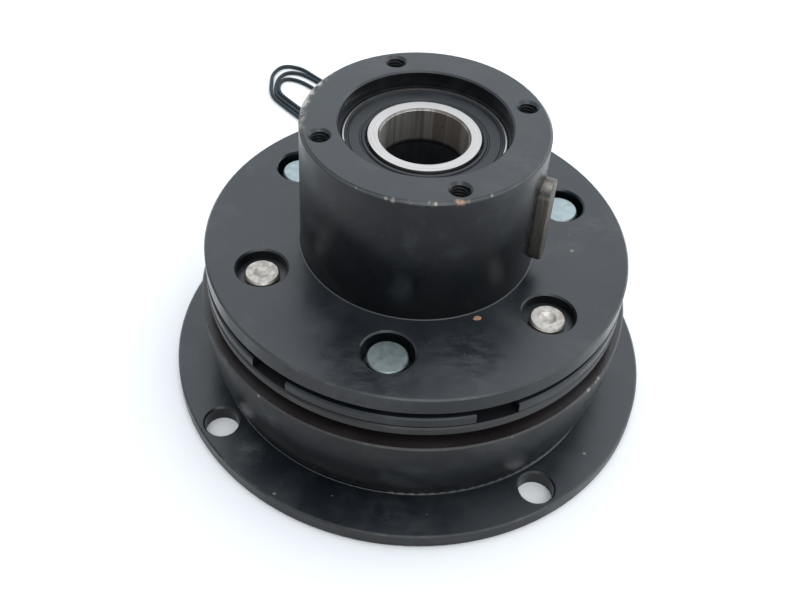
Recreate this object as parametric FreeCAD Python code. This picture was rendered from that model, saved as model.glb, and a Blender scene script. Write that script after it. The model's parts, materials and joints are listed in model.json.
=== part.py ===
import FreeCAD, Part
import math
import os

# Flange-mounted single-disc electromagnetic clutch, in millimetres.
# Origin: centre of the mounting flange's back face. +Z runs along the shaft axis, from the
# stationary field, through the rotor and the armature, to the end of the pulley hub.

# ---- Driving dimensions: radii, worked outwards from the shaft -------------------------------
shaft_radius = 12.5
bearing_section = 11.0          # radial height of a bearing, bore to outside
bearing_width = 12.0
ball_radius = 3.3
ball_count = 10
race_clearance = 0.08           # ball to raceway
shoulder_height = 2.1           # ring shoulder's distance from the ball pitch circle
ring_chamfer = 0.6
seal_seat_depth = 1.5
seal_thickness = 1.1
seal_seat_wall = 1.0            # outer ring left outside the seal
seal_lip_gap = 0.25
seal_lip_width = 1.4
seal_lip_step = 0.35            # lip's face below the seal's
cage_end_gap = 0.3              # cage to seal
spacer_clearance = 0.15         # spacers on the shaft, radial
hub_wall = 11.5                 # pulley hub, bearing seat to outside
rotor_hub_wall = 11.0
inner_pole_gap = 0.5            # rotor hub to field, radial
inner_pole_wall = 7.0
coil_slot_width = 23.0
slot_lip = 1.0                  # thin lip that holds the potting in
skirt_inner_gap = 0.5
skirt_wall = 4.4
outer_pole_gap = 0.4            # rotor skirt to field, radial
rim_wall = 5.2                  # field's outer wall at its top
foot_inset = 4.7                # how far the wall draws in at its foot
flange_ledge = 14.2             # flange left outside the field's foot
friction_lip = 3.6              # friction disc's overhang beyond the skirt

# ---- Driving dimensions: heights, worked upwards from the flange's back face -----------------
flange_thick = 5.0
field_base = 6.0
field_height = 27.5             # field body above the flange
inner_pole_drop = 2.5           # inner pole's end below the field's rim
well_depth = 10.5               # annular well that takes the rotor's skirt
rotor_start = 1.0
skirt_end_gap = 1.5
disc_back_gap = 2.3             # rotor disc's back above the inner pole
lip_gap = 3.5                   # friction lip above the field's rim
lip_thick = 3.0
air_gap = 0.5
armature_thick = 3.5
spring_room = 2.0               # armature to hub flange
hub_flange_thick = 6.0
barrel_length = 42.5
bearing_recess = 5.0            # upper bearing's face below the hub's end
collar_length = 6.0             # sets the air gap
boss_gap = 2.0                  # hub's lower boss above the rotor's face

# ---- Driving dimensions: details --------------------------------------------------------------
bolt_edge = 7.0
bolt_hole_radius = 5.25
bolt_count = 4
bolt_azimuth = 37.0
edge_chamfer = 0.5
overcut = 1.0                   # how far a cutting shape reaches past what it cuts
flange_bore_gap = 2.0           # flange's bore outside the field's
wall_taper = 0.7                # draw-in of the upper, nearly straight part of the wall
wall_straight = 10.5            # height of that part
wall_belly = 0.75               # bulge of the rounded lower part beyond its chord
foot_fillet = 0.5
screw_count = 4
screw_azimuth = 83.0
screw_radius = 2.5
screw_head_radius = 4.8
screw_clearance = 0.25
screw_sunk = 0.2                # below the face, and short of the hole's end
screw_socket = 1.8              # hexagon's corner radius, and its depth
bobbin_clearance = 0.4
bobbin_wall = 1.2
potting_thick = 2.5
keyway_width = 8.0
keyway_depth = 3.3
rotor_groove_width = 12.0
rotor_groove_depth = 2.5
outer_pole_width = 11.5         # friction face left outside the groove
flux_slot_width = 4.0
flux_slot_count = 6
flux_slot_angle = 42.0
hub_tap_edge = 5.0
hub_tap_radius = 2.5
hub_tap_depth = 15.0
hub_tap_mouth = 3.3
hub_tap_count = 4
hub_tap_azimuth = 20.0
recess_clearance = 0.7
barrel_fillet = 0.5
barrel_chamfer = 0.8
boss_wall = 9.5                 # hub's lower boss, bearing seat to outside
shoulder_wall = 2.7             # inner rib between the bearings
armature_bore_gap = 1.5
clip_thick = 1.75
clip_groove_width = 1.9
clip_groove_depth = 1.25
clip_gap = 0.15
clip_section = 2.4
clip_opening = 26.0
clip_lug_radius = 2.2
clip_lug_angle = 4.0            # from the band's end to its eye
key_width = 8.0
key_height = 7.1
key_seat_depth = 4.0
key_length = 28.0
key_start = 5.0                 # lower end of the key above the hub's flange
key_azimuth = -16.0
key_chamfer = 0.4
rivet_edge = 15.5
rivet_count = 3
hub_rivet_azimuth = 84.0
rivet_pitch = 60.0              # from a hub rivet to the next armature rivet
rivet_hole_radius = 7.5
rivet_shank_radius = 3.0
shank_clearance = 0.1
hub_rivet_head_radius = 5.2
hub_rivet_head_height = 1.8
hub_rivet_bevel = 0.5
dimple_radius = 2.4
dimple_floor = 0.6
dimple_depth = 0.35
armature_rivet_head_radius = 5.8
armature_rivet_bevel = 0.35
head_sunk = 1.8                 # rivet heads lie below the hub flange's face
rivet_tail_radius = 4.8
rivet_tail_height = 1.4
tail_clearance = 1.7
tail_sunk = 0.3                 # flush rivet ends lie below the friction face
tail_flare = 1.2                # countersink beyond the shank, and its depth
spring_thick = 0.8
spring_width = 11.0
notch_count = 6
notch_width = 12.5
notch_depth = 5.0
notch_corner = 2.0
grommet_azimuth = 105.0
grommet_rise = 8.0              # its centre above the flange
grommet_neck_radius = 3.0
grommet_head_radius = 4.4
grommet_head_length = 3.0
grommet_bevel = 0.8
grommet_clearance = 0.1
grommet_neck_gap = 0.5          # neck's inner end short of the coil's slot
grommet_seat_inset = 1.6        # spot face below the wall's foot radius
lead_radius = 0.8
lead_spacing = 1.2              # each lead's offset from the grommet's centre
lead_straight = 5.0             # first run, straight out of the grommet
arc_share = 0.45                # of the shorter run beside a bend, taken up by its arc
hank_radius = 12.0
hank_straight = 48.0
hank_width = 8.0
hank_height = 5.2

# ---- Radii that follow ------------------------------------------------------------------------
bearing_radius = shaft_radius + bearing_section
ball_pitch = shaft_radius + bearing_section / 2
hub_radius = bearing_radius + hub_wall
rotor_hub_radius = shaft_radius + rotor_hub_wall
field_bore = rotor_hub_radius + inner_pole_gap
slot_inner = field_bore + inner_pole_wall
slot_outer = slot_inner + coil_slot_width
lip_outer = slot_outer + slot_lip
skirt_inner = lip_outer + skirt_inner_gap
skirt_outer = skirt_inner + skirt_wall
well_radius = skirt_outer + outer_pole_gap
field_radius = well_radius + rim_wall
foot_radius = field_radius - foot_inset
flange_radius = foot_radius + flange_ledge
disc_radius = skirt_outer + friction_lip
boss_radius = bearing_radius + boss_wall
armature_bore = boss_radius + armature_bore_gap
bolt_circle = flange_radius - bolt_edge
tap_circle = hub_radius - hub_tap_edge
rivet_circle = disc_radius - rivet_edge
screw_circle = (slot_inner + slot_outer) / 2
groove_outer = disc_radius - outer_pole_width
groove_inner = groove_outer - rotor_groove_width
groove_centre = (groove_inner + groove_outer) / 2
grommet_seat = foot_radius - grommet_seat_inset
grommet_face = foot_radius + grommet_head_length

# ---- Heights that follow ----------------------------------------------------------------------
slot_floor = flange_thick + field_base
field_top = flange_thick + field_height
inner_pole_top = field_top - inner_pole_drop
well_floor = field_top - well_depth
disc_back = inner_pole_top + disc_back_gap
lip_back = field_top + lip_gap
rotor_face = lip_back + lip_thick
armature_back = rotor_face + air_gap
armature_top = armature_back + armature_thick
hub_flange_back = armature_top + spring_room
hub_flange_top = hub_flange_back + hub_flange_thick
hub_top = hub_flange_top + barrel_length
upper_bearing_top = hub_top - bearing_recess
upper_bearing_back = upper_bearing_top - bearing_width
lower_bearing_back = rotor_face + collar_length
lower_bearing_top = lower_bearing_back + bearing_width
boss_back = rotor_face + boss_gap
rivet_head_top = hub_flange_top - head_sunk
spring_top = armature_top + spring_thick
grommet_height = flange_thick + grommet_rise

UP = FreeCAD.Vector(0, 0, 1)
CENTRE = FreeCAD.Vector(0, 0, 0)


# ---- Building blocks --------------------------------------------------------------------------
def at(radius, azimuth, z):
    """The point at a radius and an azimuth in degrees, at height z."""
    angle = math.radians(azimuth)
    return FreeCAD.Vector(radius * math.cos(angle), radius * math.sin(angle), z)


def turned(start, *steps):
    """A full turn of a closed (radius, height) outline. A step is a corner, or a pair of a
    middle point and an end point, for an arc."""
    edges = []
    here = FreeCAD.Vector(start[0], 0, start[1])
    first = here
    for step in steps:
        if isinstance(step[0], tuple):
            middle = FreeCAD.Vector(step[0][0], 0, step[0][1])
            there = FreeCAD.Vector(step[1][0], 0, step[1][1])
            edges.append(Part.Arc(here, middle, there).toShape())
        else:
            there = FreeCAD.Vector(step[0], 0, step[1])
            edges.append(Part.makeLine(here, there))
        here = there
    edges.append(Part.makeLine(here, first))
    return Part.Face(Part.Wire(edges)).revolve(CENTRE, UP, 360)


def ring(inner, outer, bottom, top):
    """A plain ring about the shaft axis."""
    return turned((inner, bottom), (outer, bottom), (outer, top), (inner, top))


def rod(radius, bottom, top, radial=0.0, azimuth=0.0):
    """A cylinder parallel to the shaft axis."""
    return Part.makeCylinder(radius, top - bottom, at(radial, azimuth, bottom))


def taper(low_radius, high_radius, bottom, top, radial=0.0, azimuth=0.0):
    """A cone frustum parallel to the shaft axis."""
    return Part.makeCone(low_radius, high_radius, top - bottom, at(radial, azimuth, bottom))


def turn_to(shape, azimuth):
    """A copy of a shape drawn along +X, turned about the shaft axis to an azimuth."""
    copy = shape.copy()
    copy.rotate(CENTRE, UP, azimuth)
    return copy


def arc_slot(centre_radius, width, angle, bottom, top):
    """A slot along an arc about the shaft axis, centred on +X, with round ends."""
    inner = centre_radius - width / 2
    outer = centre_radius + width / 2
    sector = Part.makeCylinder(outer, top - bottom, at(0, 0, bottom), UP, angle)
    sector = sector.cut(rod(inner, bottom, top))
    ends = [rod(width / 2, bottom, top, centre_radius, end) for end in (0, angle)]
    return turn_to(sector.fuse(ends), -angle / 2)


def around(count, first):
    """Evenly spaced azimuths."""
    return [first + 360.0 * step / count for step in range(count)]


def round_ended(width, length, bottom, inner, outer):
    """A round-ended bar along Z, standing out along +X from one radius to another."""
    out = FreeCAD.Vector(1, 0, 0)
    low = FreeCAD.Vector(inner, 0, bottom + width / 2)
    high = FreeCAD.Vector(inner, 0, bottom + length - width / 2)
    middle = Part.makeBox(
        outer - inner,
        width,
        length - width,
        FreeCAD.Vector(inner, -width / 2, bottom + width / 2),
    )
    ends = [Part.makeCylinder(width / 2, outer - inner, spot, out) for spot in (low, high)]
    return middle.fuse(ends).removeSplitter()


# ---- Stationary field -------------------------------------------------------------------------
def bolt_places():
    return around(bolt_count, bolt_azimuth)


def screw_places():
    return around(screw_count, screw_azimuth)


def mounting_flange():
    flange_bore = field_bore + flange_bore_gap
    body = turned(
        (flange_bore, 0),
        (flange_radius - edge_chamfer, 0),
        (flange_radius, edge_chamfer),
        (flange_radius, flange_thick - edge_chamfer),
        (flange_radius - edge_chamfer, flange_thick),
        (flange_bore, flange_thick),
    )
    holes = [rod(bolt_hole_radius, 0, flange_thick, bolt_circle, place) for place in bolt_places()]
    mouth = bolt_hole_radius + edge_chamfer
    chamfer_back = flange_thick - edge_chamfer
    for place in bolt_places():
        holes.append(taper(bolt_hole_radius, mouth, chamfer_back, flange_thick, bolt_circle, place))
    hole = screw_radius + screw_clearance
    head = screw_head_radius + screw_sunk
    for place in screw_places():
        holes.append(rod(hole, 0, flange_thick, screw_circle, place))
        holes.append(taper(head, hole, 0, head - hole, screw_circle, place))
    return body.cut(holes)


def field_body():
    shoulder = field_top - wall_straight
    shoulder_radius = field_radius - wall_taper
    foot_z = flange_thick + foot_fillet
    chord_r = shoulder_radius - foot_radius
    chord_z = shoulder - foot_z
    chord = math.hypot(chord_r, chord_z)
    belly_r = (shoulder_radius + foot_radius) / 2 + wall_belly * chord_z / chord
    belly_z = (shoulder + foot_z) / 2 - wall_belly * chord_r / chord
    bend = foot_fillet * (1 - math.sqrt(0.5))
    body = turned(
        (field_bore, flange_thick),
        (foot_radius + foot_fillet, flange_thick),
        ((foot_radius + bend, flange_thick + bend), (foot_radius, foot_z)),
        ((belly_r, belly_z), (shoulder_radius, shoulder)),
        (field_radius, field_top - edge_chamfer),
        (field_radius - edge_chamfer, field_top),
        (well_radius, field_top),
        (well_radius, well_floor),
        (lip_outer, well_floor),
        (lip_outer, inner_pole_top),
        (slot_outer, inner_pole_top),
        (slot_outer, slot_floor),
        (slot_inner, slot_floor),
        (slot_inner, inner_pole_top),
        (field_bore + edge_chamfer, inner_pole_top),
        (field_bore, inner_pole_top - edge_chamfer),
    )
    cuts = [
        rod(screw_radius, flange_thick, slot_floor - screw_sunk, screw_circle, place)
        for place in screw_places()
    ]
    out = at(1, grommet_azimuth, 0)
    hole_start = at(slot_outer - overcut, grommet_azimuth, grommet_height)
    seat = at(grommet_seat, grommet_azimuth, grommet_height)
    hole = grommet_neck_radius + grommet_clearance
    seat_radius = grommet_head_radius + grommet_clearance
    cuts.append(Part.makeCylinder(hole, field_radius, hole_start, out))
    cuts.append(Part.makeCylinder(seat_radius, field_radius, seat, out))
    return body.cut(cuts)


def flange_screw(azimuth):
    head = taper(
        screw_head_radius,
        screw_radius,
        screw_sunk,
        screw_sunk + screw_head_radius - screw_radius,
        screw_circle,
        azimuth,
    )
    shank = rod(screw_radius, screw_sunk, slot_floor - 2 * screw_sunk, screw_circle, azimuth)
    socket = Part.makePolygon([at(screw_socket, 60 * corner, 0) for corner in range(7)])
    socket = Part.Face(socket).extrude(UP * screw_socket)
    socket.translate(at(screw_circle, azimuth, screw_sunk))
    return head.fuse(shank).cut(socket).removeSplitter()


def coil_bobbin():
    inner = slot_inner + bobbin_clearance
    outer = slot_outer - bobbin_clearance
    tube = inner + bobbin_wall
    top = inner_pole_top - potting_thick
    return turned(
        (inner, slot_floor),
        (outer, slot_floor),
        (outer, slot_floor + bobbin_wall),
        (tube, slot_floor + bobbin_wall),
        (tube, top - bobbin_wall),
        (outer, top - bobbin_wall),
        (outer, top),
        (inner, top),
    )


def coil_winding():
    tube = slot_inner + bobbin_clearance + bobbin_wall
    outer = slot_outer - bobbin_clearance - bobbin_wall
    top = inner_pole_top - potting_thick
    return ring(tube, outer, slot_floor + bobbin_wall, top - bobbin_wall)


def coil_potting():
    return ring(slot_inner, slot_outer, inner_pole_top - potting_thick, inner_pole_top)


def lead_grommet():
    """A rubber bush, drawn along Z and then laid along its radius."""
    neck = grommet_seat - slot_outer - grommet_neck_gap
    length = grommet_face - grommet_seat
    body = turned(
        (0, -neck),
        (grommet_neck_radius, -neck),
        (grommet_neck_radius, 0),
        (grommet_head_radius, 0),
        (grommet_head_radius, length - grommet_bevel),
        (grommet_head_radius - grommet_bevel, length),
        (0, length),
    )
    body.rotate(CENTRE, FreeCAD.Vector(0, 1, 0), 90)
    body.translate(FreeCAD.Vector(grommet_seat, 0, grommet_height))
    return turn_to(body, grommet_azimuth)


# ---- Lead wires -------------------------------------------------------------------------------
def tube_along(points, radius, name):
    """A round tube along straight runs joined by tangent arcs."""
    edges = []
    here = points[0]
    for before, corner, after in zip(points, points[1:], points[2:]):
        back = (before - corner).normalize()
        ahead = (after - corner).normalize()
        half_turn = (math.pi - back.getAngle(ahead)) / 2
        shorter = min((before - corner).Length, (after - corner).Length)
        reach = arc_share * shorter
        bend = reach / math.tan(half_turn)
        print(name, "bend radius", round(bend, 1), "turn", round(math.degrees(2 * half_turn), 1))
        start = corner + back * reach
        end = corner + ahead * reach
        inward = (back + ahead).normalize()
        middle = corner + inward * (bend / math.cos(half_turn) - bend)
        edges.append(Part.makeLine(here, start))
        edges.append(Part.Arc(start, middle, end).toShape())
        here = end
    edges.append(Part.makeLine(here, points[-1]))
    path = Part.Wire(edges)
    profile = Part.Wire(Part.makeCircle(radius, points[0], points[1] - points[0]))
    tube = path.makePipeShell([profile], True, False)
    expected = math.pi * radius ** 2 * path.Length
    print(name, "length", round(path.Length, 1), "volume", round(tube.Volume / expected, 4))
    return tube


def lead_start(side):
    """The middle of a lead's end face on the grommet."""
    across = at(lead_spacing, grommet_azimuth + 90, 0) * side
    return at(grommet_face, grommet_azimuth, grommet_height) + across


def lead_route(side, rest):
    """A lead's route: straight out of the grommet, then over the flange and down."""
    start = lead_start(side)
    out = at(1, grommet_azimuth, 0)
    return [start, start + out * lead_straight] + [FreeCAD.Vector(*point) for point in rest]


def lead_a():
    rest = [
        (-21.8, 74.4, 12.2),
        (-23.8, 81.4, 7.6),
        (-25.6, 87.6, 2.9),
        (-29.8, 93.2, 1.1),
    ]
    return tube_along(lead_route(1, rest), lead_radius, "lead_a")


def lead_b():
    rest = [
        (-17.8, 75.6, 11.4),
        (-18.4, 82.6, 6.2),
        (-19.8, 89.0, 2.2),
        (-23.6, 94.4, 1.1),
    ]
    return tube_along(lead_route(-1, rest), lead_radius, "lead_b")


def lead_hank():
    """The outer shape of both leads' loose loops, a long ring lying behind the clutch."""
    far_end = FreeCAD.Vector(-58.5, 138.0, 0)
    along = FreeCAD.Vector(0.77, -0.64, 0).normalize()
    turn = math.degrees(math.atan2(along.y, along.x))

    def long_ring(radius):
        ends = [Part.makeCylinder(radius, hank_height, spot) for spot in
                (CENTRE, FreeCAD.Vector(hank_straight, 0, 0))]
        middle = Part.makeBox(hank_straight, 2 * radius, hank_height, FreeCAD.Vector(0, -radius, 0))
        return middle.fuse(ends).removeSplitter()

    shape = long_ring(hank_radius + hank_width / 2).cut(long_ring(hank_radius - hank_width / 2))
    shape.rotate(CENTRE, UP, turn)
    shape.translate(far_end)
    return shape


# ---- Rotor and what is clamped to the shaft ---------------------------------------------------
def rotor():
    groove_floor = rotor_face - rotor_groove_depth
    body = turned(
        (shaft_radius + edge_chamfer, rotor_start),
        (rotor_hub_radius - edge_chamfer, rotor_start),
        (rotor_hub_radius, rotor_start + edge_chamfer),
        (rotor_hub_radius, disc_back),
        (skirt_inner, disc_back),
        (skirt_inner, well_floor + skirt_end_gap),
        (skirt_outer, well_floor + skirt_end_gap),
        (skirt_outer, lip_back),
        (disc_radius - edge_chamfer, lip_back),
        (disc_radius, lip_back + edge_chamfer),
        (disc_radius, rotor_face - edge_chamfer),
        (disc_radius - edge_chamfer, rotor_face),
        (groove_outer, rotor_face),
        (groove_outer, groove_floor),
        (groove_inner, groove_floor),
        (groove_inner, rotor_face),
        (shaft_radius + edge_chamfer, rotor_face),
        (shaft_radius, rotor_face - edge_chamfer),
        (shaft_radius, rotor_start + edge_chamfer),
    )
    slot = arc_slot(groove_centre, flux_slot_width, flux_slot_angle, disc_back, groove_floor)
    cuts = [turn_to(slot, place) for place in around(flux_slot_count, 0)]
    keyway = Part.makeBox(
        shaft_radius + keyway_depth,
        keyway_width,
        rotor_face - rotor_start,
        FreeCAD.Vector(0, -keyway_width / 2, rotor_start),
    )
    cuts.append(keyway)
    return body.cut(cuts)


def friction_lining():
    return ring(groove_inner, groove_outer, rotor_face - rotor_groove_depth, rotor_face)


def spacer_tube(bottom, top):
    """A tube on the shaft, as thick as a bearing's inner ring."""
    inner = shaft_radius + spacer_clearance
    outer = ball_pitch - shoulder_height
    bevel = ring_chamfer / 2
    return turned(
        (inner, bottom),
        (outer - bevel, bottom),
        (outer, bottom + bevel),
        (outer, top - bevel),
        (outer - bevel, top),
        (inner, top),
    )


# ---- Ball bearings ----------------------------------------------------------------------------
def raceway(bottom):
    race = Part.makeTorus(ball_pitch, ball_radius + race_clearance)
    race.translate(FreeCAD.Vector(0, 0, bottom + bearing_width / 2))
    return race


def bearing_inner_ring(bottom):
    outer = ball_pitch - shoulder_height
    top = bottom + bearing_width
    body = turned(
        (shaft_radius + ring_chamfer, bottom),
        (outer, bottom),
        (outer, top),
        (shaft_radius + ring_chamfer, top),
        (shaft_radius, top - ring_chamfer),
        (shaft_radius, bottom + ring_chamfer),
    )
    return body.cut(raceway(bottom))


def bearing_outer_ring(bottom):
    inner = ball_pitch + shoulder_height
    seat = bearing_radius - seal_seat_wall
    top = bottom + bearing_width
    body = turned(
        (seat, bottom),
        (bearing_radius - ring_chamfer, bottom),
        (bearing_radius, bottom + ring_chamfer),
        (bearing_radius, top - ring_chamfer),
        (bearing_radius - ring_chamfer, top),
        (seat, top),
        (seat, top - seal_seat_depth),
        (inner, top - seal_seat_depth),
        (inner, bottom + seal_seat_depth),
        (seat, bottom + seal_seat_depth),
    )
    return body.cut(raceway(bottom))


def bearing_seal(face, inward):
    """A rubber seal pressed into the outer ring, its lip next to the inner ring. The face is
    the bearing's end face, and inward is +1 or -1 along Z."""
    lip = ball_pitch - shoulder_height + seal_lip_gap
    rim = bearing_radius - seal_seat_wall
    step = lip + seal_lip_width
    back = face + inward * seal_seat_depth
    front = face + inward * (seal_seat_depth - seal_thickness)
    lower = front + inward * seal_lip_step
    return turned((lip, back), (rim, back), (rim, front), (step, front), (step, lower), (lip, lower))


def bearing_balls(bottom):
    z = bottom + bearing_width / 2
    balls = [Part.makeSphere(ball_radius, at(ball_pitch, place, z)) for place in around(ball_count, 0)]
    return Part.makeCompound(balls)


def bearing_cage(bottom):
    """A solid cage with a round pocket drilled through it for each ball."""
    z = bottom + bearing_width / 2
    pocket = ball_radius + race_clearance
    half_height = bearing_width / 2 - seal_seat_depth - cage_end_gap
    half_wall = shoulder_height / 2
    body = ring(ball_pitch - half_wall, ball_pitch + half_wall, z - half_height, z + half_height)
    pockets = [
        Part.makeCylinder(pocket, bearing_section, at(shaft_radius, place, z), at(1, place, 0))
        for place in around(ball_count, 0)
    ]
    return body.cut(pockets)


# ---- Hub --------------------------------------------------------------------------------------
def hub_rivet_places():
    return around(rivet_count, hub_rivet_azimuth)


def armature_rivet_places():
    return around(rivet_count, hub_rivet_azimuth + rivet_pitch)


def armature_hub():
    bend = barrel_fillet * (1 - math.sqrt(0.5))
    body = turned(
        (0, boss_back),
        (boss_radius - edge_chamfer, boss_back),
        (boss_radius, boss_back + edge_chamfer),
        (boss_radius, hub_flange_back),
        (disc_radius - edge_chamfer, hub_flange_back),
        (disc_radius, hub_flange_back + edge_chamfer),
        (disc_radius, hub_flange_top - edge_chamfer),
        (disc_radius - edge_chamfer, hub_flange_top),
        (hub_radius + barrel_fillet, hub_flange_top),
        ((hub_radius + bend, hub_flange_top + bend), (hub_radius, hub_flange_top + barrel_fillet)),
        (hub_radius, hub_top - barrel_chamfer),
        (hub_radius - barrel_chamfer, hub_top),
        (0, hub_top),
    )
    shoulder = bearing_radius - shoulder_wall
    recess = bearing_radius + recess_clearance
    groove_top = lower_bearing_back
    cuts = [
        rod(bearing_radius, boss_back, lower_bearing_top),
        rod(bearing_radius + clip_groove_depth, groove_top - clip_groove_width, groove_top),
        rod(shoulder, lower_bearing_top, upper_bearing_back),
        rod(bearing_radius, upper_bearing_back, upper_bearing_top),
        rod(recess, upper_bearing_top, hub_top),
        taper(recess, recess + edge_chamfer, hub_top - edge_chamfer, hub_top),
    ]
    for place in around(hub_tap_count, hub_tap_azimuth):
        cuts.append(rod(hub_tap_radius, hub_top - hub_tap_depth, hub_top, tap_circle, place))
        mouth_back = hub_top - (hub_tap_mouth - hub_tap_radius)
        cuts.append(taper(hub_tap_radius, hub_tap_mouth, mouth_back, hub_top, tap_circle, place))
    seat = rivet_head_top - hub_rivet_head_height
    shank = rivet_shank_radius + shank_clearance
    for place in hub_rivet_places():
        cuts.append(rod(rivet_hole_radius, seat, hub_flange_top, rivet_circle, place))
        cuts.append(rod(shank, hub_flange_back, seat, rivet_circle, place))
    for place in armature_rivet_places():
        cuts.append(rod(rivet_hole_radius, hub_flange_back, hub_flange_top, rivet_circle, place))
    mouth = rivet_hole_radius + edge_chamfer
    for place in hub_rivet_places() + armature_rivet_places():
        chamfer_back = hub_flange_top - edge_chamfer
        cuts.append(taper(rivet_hole_radius, mouth, chamfer_back, hub_flange_top, rivet_circle, place))
    keyway = round_ended(
        key_width,
        key_length,
        hub_flange_top + key_start,
        hub_radius - key_seat_depth,
        hub_radius + key_height,
    )
    cuts.append(turn_to(keyway, key_azimuth))
    return body.cut(cuts)


def drive_key():
    inner = hub_radius - key_seat_depth
    outer = inner + key_height
    bar = round_ended(key_width, key_length, hub_flange_top + key_start, inner, outer)
    rim = [edge for edge in bar.Edges if edge.BoundBox.XMin > outer - key_chamfer]
    return turn_to(bar.makeChamfer(key_chamfer, rim), key_azimuth)


def retaining_ring():
    """An internal circlip below the lower bearing, open at one side with two eyes."""
    outer = bearing_radius + clip_groove_depth - clip_gap
    inner = outer - clip_section
    top = lower_bearing_back - (clip_groove_width - clip_thick) / 2
    bottom = top - clip_thick
    span = 360.0 - clip_opening
    band = Part.makeCylinder(outer, clip_thick, at(0, 0, bottom), UP, span)
    band = band.cut(rod(inner, bottom, top))
    eye_circle = inner - clip_lug_radius / 2
    eye_angles = (clip_lug_angle, span - clip_lug_angle)
    eyes = [rod(clip_lug_radius, bottom, top, eye_circle, angle) for angle in eye_angles]
    holes = [rod(clip_lug_radius / 2, bottom, top, eye_circle, angle) for angle in eye_angles]
    return turn_to(band.fuse(eyes).cut(holes).removeSplitter(), 90 + clip_opening / 2)


def hub_rivet(azimuth):
    """A rivet whose closed head is dimpled. It clamps the spring and its spacer to the hub."""
    seat = rivet_head_top - hub_rivet_head_height
    tail = armature_top - rivet_tail_height
    dimple_back = rivet_head_top - dimple_depth
    dimple_middle = ((dimple_radius + dimple_floor) / 2, rivet_head_top - 0.7 * dimple_depth)
    body = turned(
        (0, tail),
        (rivet_tail_radius - hub_rivet_bevel, tail),
        (rivet_tail_radius, tail + hub_rivet_bevel),
        (rivet_tail_radius, armature_top),
        (rivet_shank_radius, armature_top),
        (rivet_shank_radius, seat),
        (hub_rivet_head_radius, seat),
        (hub_rivet_head_radius, rivet_head_top - hub_rivet_bevel),
        (hub_rivet_head_radius - hub_rivet_bevel, rivet_head_top),
        (dimple_radius, rivet_head_top),
        (dimple_middle, (dimple_floor, dimple_back)),
        (0, dimple_back),
    )
    body.translate(at(rivet_circle, azimuth, 0))
    return body


def armature_rivet(azimuth):
    """A flat-headed rivet. Its tall head stands on the spring, in a clearance hole of the hub,
    and its flush end sits in the armature's countersink."""
    r = armature_rivet_head_radius
    bottom = armature_back + tail_sunk
    flare = rivet_shank_radius + tail_flare
    body = turned(
        (0, bottom),
        (flare, bottom),
        (rivet_shank_radius, bottom + tail_flare),
        (rivet_shank_radius, spring_top),
        (r, spring_top),
        (r, rivet_head_top - armature_rivet_bevel),
        (r - armature_rivet_bevel, rivet_head_top),
        (0, rivet_head_top),
    )
    body.translate(at(rivet_circle, azimuth, 0))
    return body


def spring_spacer(azimuth):
    washer = ring(rivet_shank_radius + shank_clearance, spring_width / 2, spring_top, hub_flange_back)
    washer.translate(at(rivet_circle, azimuth, 0))
    return washer


def leaf_spring(azimuth):
    """A flat spring from a hub rivet to the next armature rivet."""
    start = at(rivet_circle, azimuth, armature_top)
    end = at(rivet_circle, azimuth + rivet_pitch, armature_top)
    span = (end - start).Length
    ends = [Part.makeCylinder(spring_width / 2, spring_thick, spot) for spot in (start, end)]
    strip = Part.makeBox(span, spring_width, spring_thick, FreeCAD.Vector(0, -spring_width / 2, 0))
    strip.rotate(CENTRE, UP, azimuth + 90 + rivet_pitch / 2)
    strip.translate(start)
    hole = rivet_shank_radius + shank_clearance
    holes = [Part.makeCylinder(hole, spring_thick, spot) for spot in (start, end)]
    return strip.fuse(ends).cut(holes).removeSplitter()


# ---- Armature ---------------------------------------------------------------------------------
def rim_notch():
    """A notch in the armature's rim, with rounded inner corners, drawn on +X."""
    floor = disc_radius - notch_depth
    half = notch_width / 2
    reach = notch_depth + overcut
    wide = Part.makeBox(
        reach - notch_corner,
        notch_width,
        armature_thick,
        FreeCAD.Vector(floor + notch_corner, -half, armature_back),
    )
    deep = Part.makeBox(
        reach,
        notch_width - 2 * notch_corner,
        armature_thick,
        FreeCAD.Vector(floor, notch_corner - half, armature_back),
    )
    corners = [
        Part.makeCylinder(
            notch_corner,
            armature_thick,
            FreeCAD.Vector(floor + notch_corner, side * (half - notch_corner), armature_back),
        )
        for side in (-1, 1)
    ]
    return wide.fuse([deep] + corners).removeSplitter()


def armature_plate():
    body = turned(
        (armature_bore, armature_back),
        (disc_radius - edge_chamfer, armature_back),
        (disc_radius, armature_back + edge_chamfer),
        (disc_radius, armature_top - edge_chamfer),
        (disc_radius - edge_chamfer, armature_top),
        (armature_bore, armature_top),
    )
    notch = rim_notch()
    first_notch = hub_rivet_azimuth + rivet_pitch / 2
    cuts = [turn_to(notch, place) for place in around(notch_count, first_notch)]
    clear = rivet_tail_radius + tail_clearance
    for place in hub_rivet_places():
        cuts.append(rod(clear, armature_back, armature_top, rivet_circle, place))
    flare = rivet_shank_radius + tail_flare
    for place in armature_rivet_places():
        cuts.append(rod(rivet_shank_radius, armature_back, armature_top, rivet_circle, place))
        sink = armature_back + tail_sunk
        cuts.append(rod(flare, armature_back, sink, rivet_circle, place))
        cuts.append(taper(flare, rivet_shank_radius, sink, sink + tail_flare, rivet_circle, place))
    return body.cut(cuts)


# ---- Every node -------------------------------------------------------------------------------
def numbered(name, maker, places):
    return {f"{name}_{number}": maker(place) for number, place in enumerate(places, 1)}


def bearing(name, bottom):
    top = bottom + bearing_width
    return {
        f"{name}_inner_ring": bearing_inner_ring(bottom),
        f"{name}_outer_ring": bearing_outer_ring(bottom),
        f"{name}_balls": bearing_balls(bottom),
        f"{name}_cage": bearing_cage(bottom),
        f"{name}_top_seal": bearing_seal(top, -1),
        f"{name}_bottom_seal": bearing_seal(bottom, 1),
    }


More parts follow.
